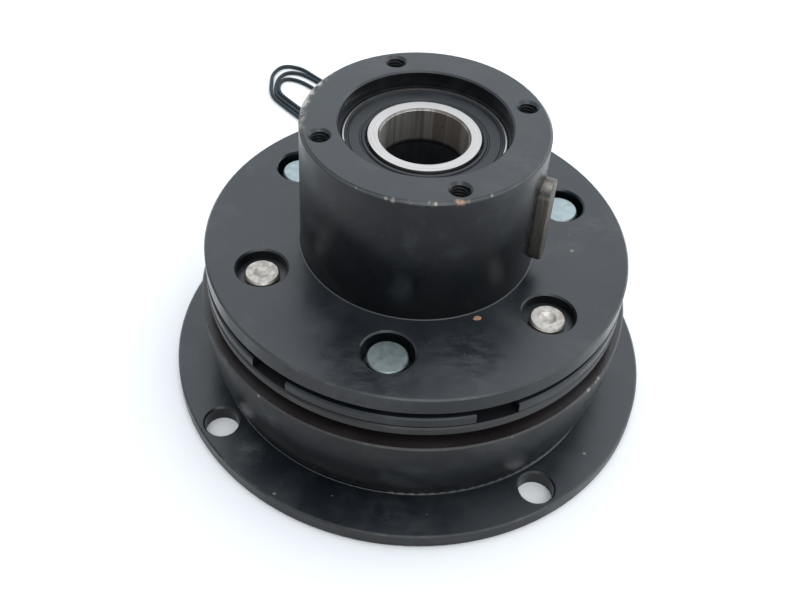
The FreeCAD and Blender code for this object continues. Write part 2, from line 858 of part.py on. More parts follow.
def nodes():
    made = {
        "mounting_flange": mounting_flange(),
        "field_body": field_body(),
        "coil_bobbin": coil_bobbin(),
        "coil_winding": coil_winding(),
        "coil_potting": coil_potting(),
        "lead_grommet": lead_grommet(),
        "lead_a": lead_a(),
        "lead_b": lead_b(),
        "lead_hank": lead_hank(),
        "rotor": rotor(),
        "friction_lining": friction_lining(),
        "setting_collar": spacer_tube(rotor_face, lower_bearing_back),
        "spacer_sleeve": spacer_tube(lower_bearing_top, upper_bearing_back),
        "armature_hub": armature_hub(),
        "drive_key": drive_key(),
        "retaining_ring": retaining_ring(),
        "armature_plate": armature_plate(),
    }
    made.update(numbered("flange_screw", flange_screw, screw_places()))
    made.update(numbered("hub_rivet", hub_rivet, hub_rivet_places()))
    made.update(numbered("spring_spacer", spring_spacer, hub_rivet_places()))
    made.update(numbered("leaf_spring", leaf_spring, hub_rivet_places()))
    made.update(numbered("armature_rivet", armature_rivet, armature_rivet_places()))
    made.update(bearing("upper_bearing", upper_bearing_back))
    made.update(bearing("lower_bearing", lower_bearing_back))
    return made


os.makedirs("parts", exist_ok=True)
for node, shape in nodes().items():
    print(node, "solids", len(shape.Solids), "valid", shape.isValid(), "volume", round(shape.Volume))
    shape.exportStep(f"parts/{node}.step")
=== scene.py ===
"""The looks of a flange-mounted electromagnetic clutch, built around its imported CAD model.

Everything is in metres, in the CAD frame: the origin is the centre of the mounting flange's back
face, +Z is the shaft axis, and the two lead wires leave on the +Y side.
"""

import json
import math

import bpy
from mathutils import Matrix, Vector


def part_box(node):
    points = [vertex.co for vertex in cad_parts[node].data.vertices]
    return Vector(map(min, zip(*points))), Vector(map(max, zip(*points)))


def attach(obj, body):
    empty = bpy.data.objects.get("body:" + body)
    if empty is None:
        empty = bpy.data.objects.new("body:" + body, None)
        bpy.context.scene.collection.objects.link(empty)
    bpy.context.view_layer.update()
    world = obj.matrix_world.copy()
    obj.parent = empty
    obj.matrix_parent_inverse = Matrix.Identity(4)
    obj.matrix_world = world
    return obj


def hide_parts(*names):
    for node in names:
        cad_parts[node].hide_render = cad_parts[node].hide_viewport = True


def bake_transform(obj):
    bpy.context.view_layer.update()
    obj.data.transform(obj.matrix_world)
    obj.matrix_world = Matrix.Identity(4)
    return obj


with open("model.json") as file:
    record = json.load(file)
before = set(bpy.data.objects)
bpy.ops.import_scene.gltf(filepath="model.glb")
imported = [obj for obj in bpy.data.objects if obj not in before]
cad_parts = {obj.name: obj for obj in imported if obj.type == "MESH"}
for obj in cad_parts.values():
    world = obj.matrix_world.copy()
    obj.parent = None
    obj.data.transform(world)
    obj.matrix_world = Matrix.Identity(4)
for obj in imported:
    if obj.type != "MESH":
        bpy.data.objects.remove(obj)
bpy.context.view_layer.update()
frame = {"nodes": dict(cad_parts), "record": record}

MM = 0.001
nodes = frame["nodes"]
mounts = {mount["name"]: mount for mount in frame["record"]["mounts"]}


# ---- Places taken from the frame ----------------------------------------------------------------
def bottom(node):
    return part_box(node)[0].z


def top(node):
    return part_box(node)[1].z


def reach(node):
    """The outside radius of a node that is round about the shaft axis."""
    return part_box(node)[1].x


def mount_radius(name):
    return mounts[name]["dims"]["r_mm"] * MM


barrel_radius = mount_radius("pulley_seat")
bore_radius = mount_radius("rotor_bore")
hub_top = top("armature_hub")
hub_flange_top = mounts["pulley_shoulder"]["pos_m"][2]
disc_radius = reach("armature_hub")
field_radius = reach("field_body")
field_top = top("field_body")
flange_radius = reach("mounting_flange")
flange_top = top("mounting_flange")


def at(radius, azimuth, z):
    """The point at a radius and an azimuth in degrees, at height z."""
    angle = math.radians(azimuth)
    return Vector((radius * math.cos(angle), radius * math.sin(angle), z))


# ---- Camera -------------------------------------------------------------------------------------
def make_camera():
    """Looks down at the clutch from the front, turned and tilted a little, as a hand-held one is."""
    down, aside, tilt = (math.radians(angle) for angle in (42.63, -3.34, 2.5))
    ahead = Vector((math.sin(aside) * math.cos(down), math.cos(aside) * math.cos(down), -math.sin(down)))
    level = ahead.cross(Vector((0, 0, 1))).normalized()
    upright = level.cross(ahead)
    right = level * math.cos(tilt) + upright * math.sin(tilt)
    up = upright * math.cos(tilt) - level * math.sin(tilt)
    camera = bpy.data.objects.new("camera", bpy.data.cameras.new("camera"))
    camera.matrix_world = Matrix((right, up, -ahead)).transposed().to_4x4()
    camera.matrix_world.translation = (0, -0.2386, 0.2673)
    camera.data.lens = 47.98
    camera.data.shift_x = 0.0375
    camera.data.shift_y = -0.075
    camera.data.clip_start = 0.01
    bpy.context.scene.collection.objects.link(camera)
    bpy.context.scene.camera = camera


make_camera()


# ---- Lead wires ---------------------------------------------------------------------------------
LEAD_DIAMETER = 0.0016
LEAD_SPACING = 0.0012           # each lead's offset from the grommet's centre
STRIPPED_DIAMETER = 0.0009
STRIPPED_LENGTH = 0.007
STRIPPED_INSIDE = 0.001         # how far the bare strands start inside the insulation
EXIT_RADIUS = 0.0638            # from the shaft axis to the grommet's face
EXIT_AZIMUTH = 105.0
EXIT_HEIGHT = 0.013
EXIT_STRAIGHT = 0.005
ON_TABLE = LEAD_DIAMETER / 2 + 0.0001

HANK_FAR_END = Vector((-0.0559, 0.1411, 0))
HANK_ALONG = Vector((0.77, -0.64, 0)).normalized()
HANK_ASIDE = Vector((0.64, 0.77, 0)).normalized()
HANK_STRAIGHT = 0.048
LOW_SPREAD = 0.0037             # how much wider the loops are at their near end
HIGH_SPREAD = 0.0020
BULGE_AZIMUTH = 157.0           # where the loops' far end stands out most
BULGE_WIDTH = 32.0


def hank_point(along, aside, z=ON_TABLE):
    return HANK_FAR_END + HANK_ALONG * along + HANK_ASIDE * aside + Vector((0, 0, z))


def hank_turn(low, high, far, bulge, next_low, start=0.0):
    """One loose turn, clockwise from the near end. It lies low on one side of the hank's middle and
    high on the other, reaches far past its start, and comes round to the next turn's low side."""
    points = []
    for step in range(1, 5):
        along = HANK_STRAIGHT + (start - HANK_STRAIGHT) * step / 5
        points.append(hank_point(along, -low - LOW_SPREAD * along / HANK_STRAIGHT))
    low += LOW_SPREAD * start / HANK_STRAIGHT
    centre, half = (high - low) / 2, (high + low) / 2
    for step in range(9):
        angle = -90 - 22.5 * step
        away = (angle + 360 - BULGE_AZIMUTH) / BULGE_WIDTH
        grown = 1 + bulge / half * math.exp(-away * away)
        turn = math.radians(angle)
        points.append(hank_point(
            start + far * grown * math.cos(turn),
            centre + half * grown * math.sin(turn),
        ))
    for step in range(1, 5):
        along = start + (HANK_STRAIGHT - start) * step / 5
        points.append(hank_point(along, high + HIGH_SPREAD * (along - start) / (HANK_STRAIGHT - start)))
    for step in range(7):
        share = step / 6
        radius = high + HIGH_SPREAD + (next_low - high - HIGH_SPREAD) * share
        turn = math.radians(90 - 170 * share)
        points.append(hank_point(HANK_STRAIGHT + radius * math.cos(turn), radius * math.sin(turn)))
    return points


def wire(name, points, diameter):
    """A round wire on one smooth curve."""
    curve = bpy.data.curves.new(name, "CURVE")
    curve.dimensions = "3D"
    curve.bevel_depth = 1.0         # times each point's radius
    curve.bevel_resolution = 5
    curve.resolution_u = 6
    curve.use_fill_caps = True
    spline = curve.splines.new("NURBS")
    spline.points.add(len(points) - 1)
    for spot, point in zip(spline.points, points):
        spot.co = (*point, 1.0)
        spot.radius = diameter / 2
    spline.order_u = 3
    spline.use_endpoint_u = True
    piece = bpy.data.objects.new(name, curve)
    bpy.context.scene.collection.objects.link(piece)
    return piece


def lead(name, side, rest, turns, tail):
    """A lead from the grommet, over the flange, through its loose loops to its stripped end."""
    start = at(EXIT_RADIUS, EXIT_AZIMUTH, EXIT_HEIGHT) + at(LEAD_SPACING, EXIT_AZIMUTH + 90, 0) * side
    points = [start, start + at(EXIT_STRAIGHT, EXIT_AZIMUTH, 0)]
    points += [Vector(point) * MM for point in rest]
    for turn in turns:
        points += hank_turn(*turn)
    points += [hank_point(*spot) for spot in tail]
    piece = wire(name, points, LEAD_DIAMETER)
    end_direction = (points[-1] - points[-2]).normalized()
    tip_points = [points[-1] + end_direction * far for far in (-STRIPPED_INSIDE, 0.003, STRIPPED_LENGTH)]
    tip = wire(f"{name}_bare_end", tip_points, STRIPPED_DIAMETER)
    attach(piece, "field")
    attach(tip, "field")
    return piece, tip


lead_a, tip_a = lead(
    "lead_wire_a",
    1,
    [
        (-21.8, 74.4, 12.2),
        (-23.8, 81.4, 7.6),
        (-25.6, 87.6, 2.9),
        (-29.8, 93.2, 0.9),
    ],
    [(0.0116, 0.0126, 0.0124, 0.0086, 0.0112), (0.0075, 0.0062, 0.0096, 0.0015, 0.0077)],
    [(0.038, -0.0074), (0.030, -0.0068), (0.022, -0.0060)],
)
lead_b, tip_b = lead(
    "lead_wire_b",
    -1,
    [
        (-17.8, 75.6, 11.4),
        (-18.4, 82.6, 6.2),
        (-19.8, 89.0, 2.2),
        (-25.2, 95.6, 0.9),
    ],
    [(0.0097, 0.0109, 0.0106, 0.0047, 0.0096), (0.0058, 0.0044, 0.0060, 0.0, 0.0056, 0.0135)],
    [
        (0.040, -0.0055), (0.033, -0.0053), (0.0270, -0.0052), (0.0230, -0.0048),
        (0.0204, -0.0033), (0.0194, -0.0011), (0.0204, 0.0011), (0.0230, 0.0025),
        (0.028, 0.0029), (0.037, 0.0029), (0.046, 0.0026),
    ],
)
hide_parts("lead_a", "lead_hank")
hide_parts("lead_b")


# ---- Turned and threaded details ----------------------------------------------------------------
def mesh_piece(name, corners, faces, body, slot):
    mesh = bpy.data.meshes.new(name)
    mesh.from_pydata(corners, [], faces)
    mesh.shade_smooth()
    mesh.set_sharp_from_angle(angle=math.radians(35))
    piece = bpy.data.objects.new(name, mesh)
    bpy.context.scene.collection.objects.link(piece)
    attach(piece, body)
    return piece


def swept(rows, closed_rows):
    """Corners and faces from rows of points, each joined to the next, with every row a closed loop."""
    count = len(rows[0])
    corners = [point for row in rows for point in row]
    faces = []
    for row in range(len(rows) if closed_rows else len(rows) - 1):
        for spot in range(count):
            here, there = row * count, (row + 1) % len(rows) * count
            beside = (spot + 1) % count
            faces.append((here + spot, here + beside, there + beside, there + spot))
    if not closed_rows:
        faces.append(tuple(range(count)))
        faces.append(tuple((len(rows) - 1) * count + spot for spot in reversed(range(count))))
    return corners, faces


def lathe(name, outline, body, slot, steps=160):
    """A closed (radius, height) outline turned about the shaft axis."""
    rows = [[at(radius, 360 * step / steps, z) for radius, z in outline] for step in range(steps)]
    return mesh_piece(name, *swept(rows, True), body, slot)


def seal(name, node):
    """A bearing seal with the moulded rings of its lip and of its bead at the outer ring."""
    low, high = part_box(node)
    lip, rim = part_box("upper_bearing_inner_ring")[1].x, high.x
    face, back = high.z, low.z
    outline = [
        (lip + 0.00025, back), (rim, back), (rim, face - 0.0001), (rim - 0.0002, face),
        (rim - 0.0007, face), (rim - 0.0009, face - 0.00035), (rim - 0.0012, face - 0.00035),
        (rim - 0.0014, face - 0.0001), (rim - 0.0022, face - 0.00015), (lip + 0.0024, face - 0.0003),
        (lip + 0.0021, face - 0.0006), (lip + 0.0018, face - 0.0006), (lip + 0.0015, face - 0.0002),
        (lip + 0.0009, face - 0.0001), (lip + 0.0006, face - 0.0003), (lip + 0.00025, face - 0.0007),
    ]
    piece = lathe(name, outline, "hub", "black_rubber")
    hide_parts(node)
    return piece


THREAD_PITCH = 0.001
THREAD_DEPTH = 0.014            # of the lowest crest, below the hub's end
THREAD_MOUTH = 0.0009           # of the highest one
CREST_HEIGHT = 0.00036
ROOT_SUNK = 0.00008             # how far a crest's foot reaches into the hole's wall
CREST_SHARE, ROOT_SHARE = 0.07, 0.46    # half the widths of crest and foot, of a pitch
TAP_AZIMUTH = 20.0


def thread(name, place, radius, pitch, first, last, body):
    """The helical crests of a tapped hole, from one height to another, faded in and out."""
    steps, rows = 28, []
    count = round((last - first) / pitch * steps)
    for step in range(count + 1):
        turn = 2 * math.pi * step / steps
        z = first + (last - first) * step / count
        fade = min(1.0, 2 * step / steps, 2 * (count - step) / steps)
        crest, root = radius - CREST_HEIGHT * fade, radius + ROOT_SUNK
        spots = [(root, -ROOT_SHARE), (crest, -CREST_SHARE), (crest, CREST_SHARE), (root, ROOT_SHARE)]
        rows.append([
            place + Vector((r * math.cos(turn), r * math.sin(turn), z + share * pitch)) for r, share in spots
        ])
    return mesh_piece(name, *swept(rows, False), body, "black_oxide_steel")


seal_piece = seal("upper_seal_moulded", "upper_bearing_top_seal")
tap = mounts["pulley_bolts"]
tap_radius = tap["dims"]["hole_r_mm"] * MM
threads = [
    thread(f"tap_thread_{number}", at(tap["dims"]["pcd_mm"] / 2 * MM, TAP_AZIMUTH + 90 * number, 0),
           tap_radius, THREAD_PITCH, hub_top - THREAD_DEPTH, hub_top - THREAD_MOUTH, "hub")
    for number in (1, 2, 3, 4)
]


FLAKE_RADIUS, FLAKE_AZIMUTH = 0.0375, -60


def flake():
    """A thin curled flake of old coating that lies on the hub's flange, near the barrel."""
    outline = [(-1.2, -0.5), (-0.3, -0.9), (0.9, -0.6), (1.3, 0.2), (0.4, 0.9), (-0.7, 0.6)]
    rows = []
    for lift, share in ((0.02, 1.0), (0.16, 1.0), (0.30, 0.8)):
        rows.append([at(FLAKE_RADIUS, FLAKE_AZIMUTH, hub_flange_top)
                     + Vector((x * share, y * share, lift + 0.08 * x)) * MM for x, y in outline])
    for row in rows:
        for point in row:
            point.z = max(point.z, hub_flange_top + 0.02 * MM)
    return mesh_piece("coating_flake", *swept(rows, False), "hub", "black_oxide_steel")


flake_piece = flake()


def bending_spring(number):
    """A copy of a leaf spring, put in place of the CAD node, which is hidden."""
    name = f"leaf_spring_{number}"
    piece = nodes[name].copy()
    piece.data = nodes[name].data.copy()
    piece.name = f"bending_spring_{number}"
    bpy.context.scene.collection.objects.link(piece)
    place = piece.matrix_world.copy()
    piece.parent = None
    piece.matrix_world = place
    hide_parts(name)
    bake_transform(piece)
    return piece


# ---- Writing materials --------------------------------------------------------------------------
class Surface:
    """A material whose nodes are added one call at a time. Values in are numbers, colours or sockets."""

    def __init__(self, name, roughness=0.4, metallic=0.0, **constants):
        self.material = bpy.data.materials.new(name)
        self.material.use_nodes = True
        self.tree = self.material.node_tree
        self.shader = self.tree.nodes["Principled BSDF"]
        self.shader.inputs["Roughness"].default_value = roughness
        self.shader.inputs["Metallic"].default_value = metallic
        for name, value in constants.items():
            self.shader.inputs[name.replace("_", " ")].default_value = value
        self.place = self.node("TexCoord").outputs["Object"]

    def node(self, kind, inputs=(), **settings):
        made = self.tree.nodes.new("ShaderNode" + kind)
        for name, value in settings.items():
            setattr(made, name, value)
        for socket, value in dict(inputs).items():
            self.give(made.inputs[socket], value)
        return made

    def give(self, socket, value):
        if isinstance(value, bpy.types.NodeSocket):
            self.tree.links.new(value, socket)
        else:
            socket.default_value = value

    def calc(self, operation, first, second=0.0, third=0.0, clamp=False):
        made = self.node("Math", {0: first, 1: second, 2: third}, operation=operation, use_clamp=clamp)
        return made.outputs[0]

    def stretched(self, x, y, z):
        return self.node("VectorMath", {0: self.place, 1: (x, y, z)}, operation="MULTIPLY").outputs[0]

    def parts(self):
        """x, y, z, and the distance from the shaft axis."""
        split = self.node("SeparateXYZ", {0: self.place}).outputs
        squares = self.calc("ADD", self.calc("POWER", split[0], 2.0), self.calc("POWER", split[1], 2.0))
        return split[0], split[1], split[2], self.calc("SQRT", squares)

    def round_the_axis(self, turns_scale, radius_scale, height_scale):
        """Coordinates that unroll the part: azimuth, radius and height, each with its own scale."""
        x, y, z, radius = self.parts()
        azimuth = self.calc("ARCTAN2", y, x)
        return self.node("CombineXYZ", {
            0: self.calc("MULTIPLY", azimuth, turns_scale),
            1: self.calc("MULTIPLY", radius, radius_scale),
            2: self.calc("MULTIPLY", z, height_scale),
        }).outputs[0]

    def clouds(self, scale, detail=4.0, roughness=0.55, vector=None, distortion=0.0):
        made = self.node("TexNoise", {
            "Vector": vector or self.place, "Scale": scale, "Detail": detail,
            "Roughness": roughness, "Distortion": distortion,
        })
        return made.outputs["Fac"]

    def between(self, value, low, high, to_low=0.0, to_high=1.0):
        made = self.node("MapRange", {0: value, 1: low, 2: high, 3: to_low, 4: to_high},
                         interpolation_type="SMOOTHSTEP")
        return made.outputs[0]

    def blend(self, share, first, second):
        made = self.node("Mix", {0: share}, data_type="RGBA")
        self.give(made.inputs[6], first)
        self.give(made.inputs[7], second)
        return made.outputs[2]

    def specks(self, scale, size, share):
        """Small round specks: one in a share of the cells, each of its own size."""
        cells = self.node("TexVoronoi", {"Vector": self.place, "Scale": scale})
        chance = self.node("SeparateColor", {0: cells.outputs["Color"]}).outputs
        chosen = self.calc("LESS_THAN", chance[0], share)
        limit = self.calc("MULTIPLY", chance[1], size)
        near = self.between(self.calc("SUBTRACT", limit, cells.outputs["Distance"]), 0.0, 0.03)
        return self.calc("MULTIPLY", chosen, near)

    def near_edges(self, edges, width):
        """1 on the given circles about the shaft axis, (radius, height), and 0 further than width."""
        radius, height = self.parts()[3], self.parts()[2]
        best = None
        for edge_radius, edge_height in edges:
            across = self.calc("POWER", self.calc("SUBTRACT", radius, edge_radius), 2.0)
            along = self.calc("POWER", self.calc("SUBTRACT", height, edge_height), 2.0)
            far = self.calc("SQRT", self.calc("ADD", across, along))
            best = far if best is None else self.calc("MINIMUM", best, far)
        return self.between(best, 0.0, width, 1.0, 0.0)

    def upwards(self):
        """1 on faces that look along the shaft axis, and 0 on walls."""
        normal = self.node("TexCoord").outputs["Normal"]
        return self.node("SeparateXYZ", {0: normal}).outputs[2]

    def near_point(self, point, width):
        gap = self.node("VectorMath", {0: self.place, 1: point}, operation="DISTANCE").outputs["Value"]
        return self.between(gap, 0.0, width, 1.0, 0.0)

    def times(self, *shares):
        product = shares[0]
        for share in shares[1:]:
            product = self.calc("MULTIPLY", product, share)
        return product

    def colour(self, value):
        self.give(self.shader.inputs["Base Color"], value)

    def rough(self, value):
        self.give(self.shader.inputs["Roughness"], value)

    def bump(self, height, strength, distance):
        made = self.node("Bump", {"Height": height, "Strength": strength, "Distance": distance})
        self.tree.links.new(made.outputs[0], self.shader.inputs["Normal"])


def dress(piece, material):
    """Gives a CAD node or a piece one material."""
    piece = nodes[piece] if isinstance(piece, str) else piece
    piece.data.materials.clear()
    piece.data.materials.append(material)


# ---- Black oxide --------------------------------------------------------------------------------
TAN = (0.34, 0.30, 0.24)
BEIGE = (0.38, 0.36, 0.31)
COPPER = (0.42, 0.23, 0.15)


def black_oxide(name, edges, turning="face", warm=0.0, chips=(), bare=(), smears=(), ledge=None, worn=0.35,
                wall_shine=0.29):
    """Oiled black oxide on turned steel: blue-black, satin, dusty, and worn along its edges. Faces
    that look up are painted paler than walls, as painted light from above, and get a stronger specular level.

    turning says which way the lathe's fine marks show: on faces or on walls. A chip is a place, its
    size and its colour, for a spot where something rubbed the finish away. A bare stretch of the
    first edge has a place, its reach and its width, and a smear has a place, its size and its
    strength. A ledge is the height of a face with a brownish cast."""
    s = Surface(name, IOR=1.52)
    drift = s.clouds(22.0, 3.0)
    # Painted light: faces that look up get a paler copy of the blue-black than walls, as if lit from above;
    # the walls' darker copy is painted shade.
    facing_up = s.between(s.upwards(), 0.25, 0.95)
    wall = s.blend(s.between(drift, 0.35, 0.65), (0.0035, 0.0048, 0.0062, 1), (0.0062, 0.0078, 0.0092, 1))
    face = s.blend(s.between(drift, 0.35, 0.65), (0.0065, 0.0095, 0.0130, 1), (0.0120, 0.0155, 0.0195, 1))
    lit_and_shaded_tone = s.blend(facing_up, wall, face)
    s.give(s.shader.inputs["Specular IOR Level"], s.between(facing_up, 0.0, 1.0, wall_shine, 0.72))
    base = s.blend(warm, lit_and_shaded_tone, (0.020, 0.013, 0.012, 1))
    if ledge:
        # A brownish cast on the face at the ledge's height.
        ledge_brown_share = s.between(s.parts()[2], ledge - 0.0008, ledge - 0.0003, 0.0, 0.8)
        base = s.blend(ledge_brown_share, base, (0.0185, 0.0125, 0.0120, 1))
    smudge = s.between(s.clouds(55.0, 6.0, 0.65, distortion=0.6), 0.50, 0.74)
    base = s.blend(s.times(smudge, 0.60), base, (0.036, 0.039, 0.042, 1))
    scratch = s.between(s.clouds(1.0, 5.0, 0.7, vector=s.stretched(260.0, 35.0, 120.0)), 0.64, 0.74)
    base = s.blend(s.times(scratch, smudge, 0.35), base, (0.075, 0.073, 0.070, 1))
    for point, size, strength in smears:
        wiped = s.between(s.clouds(1.0, 5.0, 0.7, vector=s.stretched(150.0, 380.0, 150.0)), 0.40, 0.66)
        base = s.blend(s.times(s.near_point(point, size), wiped, strength), base, (0.085, 0.088, 0.090, 1))
    dust = s.specks(330.0, 0.11, 0.20)
    base = s.blend(s.times(dust, 0.50), base, (0.13, 0.125, 0.115, 1))
    lint = s.specks(120.0, 0.05, 0.12)
    base = s.blend(s.times(lint, 0.7), base, (0.26, 0.245, 0.22, 1))
    # Painted highlight: a thin paler line along the edges, where they would catch the light.
    painted_edge_highlight = s.between(s.clouds(60.0, 3.0, 0.6), 0.30, 0.62, 0.25, 0.60)
    base = s.blend(s.times(s.near_edges(edges, 0.00055), painted_edge_highlight), base, (0.085, 0.083, 0.082, 1))
    patchy = s.between(s.clouds(190.0, 4.0, 0.7), 0.50, 0.72)
    rubbed = s.times(s.near_edges(edges, 0.0006), patchy, worn)
    base = s.blend(rubbed, base, (0.15, 0.140, 0.130, 1))
    ragged = s.between(s.clouds(420.0, 5.0, 0.65), 0.44, 0.58)
    for point, size, tint in chips:
        base = s.blend(s.times(s.near_point(point, size), ragged), base, (*tint, 1))
    for point, size, width in bare:
        along = s.times(s.near_point(point, size), s.near_edges(edges[:1], width), 2.4)
        rubbed = s.between(s.clouds(310.0, 6.0, 0.75), 0.45, 0.60)
        base = s.blend(s.calc("MULTIPLY", along, rubbed, clamp=True), base, (*BEIGE, 1))
    s.colour(base)
    fine = s.clouds(1.0, 2.0, 0.5, vector=s.round_the_axis(3.0, *(
        (5200.0, 60.0) if turning == "face" else (60.0, 5200.0))))
    finish = s.between(s.clouds(40.0, 5.0, 0.6), 0.32, 0.68, 0.23, 0.43)
    finish = s.calc("ADD", finish, s.times(s.calc("SUBTRACT", fine, 0.5), 0.06))
    finish = s.calc("ADD", finish, s.times(dust, 0.3), clamp=True)
    s.rough(finish)
    grain = s.clouds(2600.0, 3.0, 0.6)
    height = s.calc("ADD", s.times(fine, 0.55), s.times(grain, 0.45))
    s.bump(height, 0.10, 0.00006)
    return s.material


rim_chips = (       # azimuth, size in mm, colour
    (-118, 0.6, BEIGE), (-104, 0.8, TAN), (-101, 1.2, BEIGE), (-94, 0.8, TAN), (-85, 1.3, TAN),
    (-83, 0.8, BEIGE), (-74, 1.5, COPPER), (-71.5, 1.3, COPPER), (-69, 0.8, TAN), (-58, 0.6, TAN),
    (-40, 0.6, BEIGE), (30, 0.8, BEIGE), (186, 1.0, TAN), (190, 0.7, BEIGE),
)
hub_chips = [
    (at(barrel_radius - 0.0004, azimuth, hub_top - 0.0004), size * MM, tint)
    for azimuth, size, tint in rim_chips
]
hub_chips.append((at(barrel_radius, -167, hub_flange_top + 0.019), 1.0 * MM, TAN))
hub_chips.append((at(barrel_radius, -166, hub_flange_top + 0.016), 0.6 * MM, BEIGE))
hub_chips.append((at(0.0468, -1.8, hub_flange_top), 0.9 * MM, BEIGE))

hub_black = black_oxide(
    "black_oxide_hub",
    [(barrel_radius - 0.0004, hub_top - 0.0004), (disc_radius - 0.00025, hub_flange_top - 0.00025)],
    chips=hub_chips,
    bare=[(at(barrel_radius, 166, hub_top), 0.0210, 0.0021)],
    smears=[(at(0.050, -70, hub_flange_top), 16 * MM, 0.40), (at(0.056, -100, hub_flange_top), 20 * MM, 0.30),
            (at(0.030, -30, hub_top), 9 * MM, 0.25),
            (at(0.055, 10, hub_flange_top), 12 * MM, 0.25)],
)
field_chips = [(at(field_radius, azimuth, field_top - 0.0004), size * MM, tint) for azimuth, size, tint in (
    (-36.5, 1.1, BEIGE), (-33, 0.7, TAN), (-31.5, 1.2, BEIGE), (-62, 0.5, TAN), (-128, 0.6, BEIGE),
)]
field_black = black_oxide(
    "black_oxide_field",
    [(field_radius - 0.00025, field_top - 0.00025)],
    turning="wall",
    chips=field_chips,
    smears=[(at(field_radius, -126, field_top - 0.006), 7 * MM, 0.45)],
    ledge=field_top,
    wall_shine=0.20,
)
flange_black = black_oxide(
    "black_oxide_flange",
    [(flange_radius - 0.00025, flange_top - 0.00025)],
    chips=[(at(0.0735, -118, flange_top), 0.7 * MM, TAN), (at(0.0690, -36, flange_top), 0.8 * MM, TAN)],
    smears=[(at(0.0675, -131, flange_top), 6 * MM, 0.9), (at(0.068, -90, flange_top), 12 * MM, 0.2)],
)
rotor_black = black_oxide("black_oxide_rotor", [(disc_radius, top("rotor"))], warm=0.25)
armature_black = black_oxide("black_oxide_armature", [(disc_radius, top("armature_plate"))], turning="wall")

dress("armature_hub", hub_black)
dress("field_body", field_black)
dress("mounting_flange", flange_black)
dress("rotor", rotor_black)
dress("armature_plate", armature_black)


# ---- Other metals -------------------------------------------------------------------------------
def ground_steel(name, low_end):
    """Bearing steel: bright finely ground faces, and a dull bore with soft brownish streaks and a
    few dark spots, darkest at its low end."""
    s = Surface(name, metallic=1.0)
    z, radius = s.parts()[2:]
    broad = s.clouds(1.0, 3.0, 0.5, vector=s.round_the_axis(2.6, 0.0, 8.0))
    narrow = s.clouds(1.0, 3.0, 0.5, vector=s.round_the_axis(11.0, 0.0, 20.0))
    rings = s.clouds(1.0, 2.0, 0.5, vector=s.round_the_axis(1.2, 2600.0, 0.0))
    inside = s.between(radius, bore_radius + 0.00052, bore_radius + 0.00060, 1.0, 0.0)
    face = s.blend(s.between(rings, 0.3, 0.7), (0.54, 0.505, 0.485, 1), (0.62, 0.59, 0.57, 1))
    stain = s.calc("ADD", s.times(broad, 0.65), s.times(narrow, 0.35))
    bore_tone = s.blend(s.between(stain, 0.42, 0.56), (0.82, 0.80, 0.76, 1), (0.50, 0.43, 0.38, 1))
    # The bore turns near black towards its low end.
    low = s.between(z, low_end + 0.0006, low_end + 0.0022, 1.0, 0.0)
    bore_tone = s.blend(s.times(low, 0.92), bore_tone, (0.03, 0.03, 0.03, 1))
    chamfer = s.between(radius, bore_radius + 0.00003, bore_radius + 0.00008, 0.0, 0.72)
    bore_tone = s.blend(chamfer, bore_tone, (0.06, 0.055, 0.05, 1))
    base = s.blend(inside, face, bore_tone)
    spots = s.times(s.specks(210.0, 0.16, 0.10), inside)
    base = s.blend(s.times(spots, 0.85), base, (0.03, 0.025, 0.02, 1))
    s.colour(base)
    s.rough(s.calc("ADD", s.between(rings, 0.3, 0.7, 0.27, 0.33), s.times(inside, 0.20)))
    s.bump(rings, 0.04, 0.00003)
    return s.material


def plated(name, pale, dark, roughness, spots):
    """A plated rivet: cloudy, with a few dark pits."""
    s = Surface(name, roughness=roughness, metallic=1.0)
    cloud = s.clouds(420.0, 5.0, 0.6)
    base = s.blend(s.between(cloud, 0.35, 0.68), (*pale, 1), (*dark, 1))
    pits = s.specks(620.0, 0.16, spots)
    base = s.blend(s.times(pits, 0.8), base, (0.06, 0.06, 0.055, 1))
    s.colour(base)
    s.rough(s.between(cloud, 0.3, 0.7, roughness - 0.06, roughness + 0.08))
    s.bump(s.clouds(1500.0, 4.0, 0.6), 0.12, 0.0001)
    return s.material


def drawn_steel(name, pale, dark, roughness, metallic=1.0):
    """Drawn or rolled steel, with faint streaks along the shaft axis."""
    s = Surface(name, roughness=roughness, metallic=metallic)
    streaks = s.clouds(1.0, 4.0, 0.6, vector=s.stretched(1500.0, 1500.0, 90.0))
    cloud = s.clouds(130.0, 4.0, 0.6)
    share = s.calc("MULTIPLY", s.calc("ADD", streaks, cloud), 0.5)
    s.colour(s.blend(s.between(share, 0.38, 0.62), (*pale, 1), (*dark, 1)))
    s.rough(s.between(cloud, 0.3, 0.7, roughness - 0.07, roughness + 0.09))
    s.bump(streaks, 0.10, 0.00006)
    return s.material


upper_steel = ground_steel("upper_bearing_steel", bottom("upper_bearing_inner_ring"))
lower_steel = ground_steel("lower_bearing_steel", bottom("lower_bearing_inner_ring"))
nickel = plated("nickel_rivet", (0.60, 0.56, 0.51), (0.36, 0.325, 0.29), 0.42, 0.12)
zinc = plated("zinc_rivet", (0.40, 0.465, 0.47), (0.32, 0.385, 0.395), 0.42, 0.05)
key_steel = drawn_steel("dull_key_steel", (0.215, 0.20, 0.175), (0.12, 0.11, 0.095), 0.46)
blued_steel = drawn_steel("blued_spring_steel", (0.24, 0.25, 0.28), (0.14, 0.15, 0.17), 0.38)
turned_steel = drawn_steel("turned_steel", (0.52, 0.50, 0.48), (0.36, 0.34, 0.32), 0.34)
cage_steel = drawn_steel("pressed_cage_steel", (0.58, 0.55, 0.50), (0.42, 0.39, 0.35), 0.36)
sleeve_black = drawn_steel("blackened_sleeve", (0.020, 0.022, 0.025), (0.010, 0.011, 0.013), 0.42, 0.0)
screw_black = drawn_steel("black_oxide_screw", (0.030, 0.032, 0.035), (0.016, 0.017, 0.019), 0.40, 0.0)


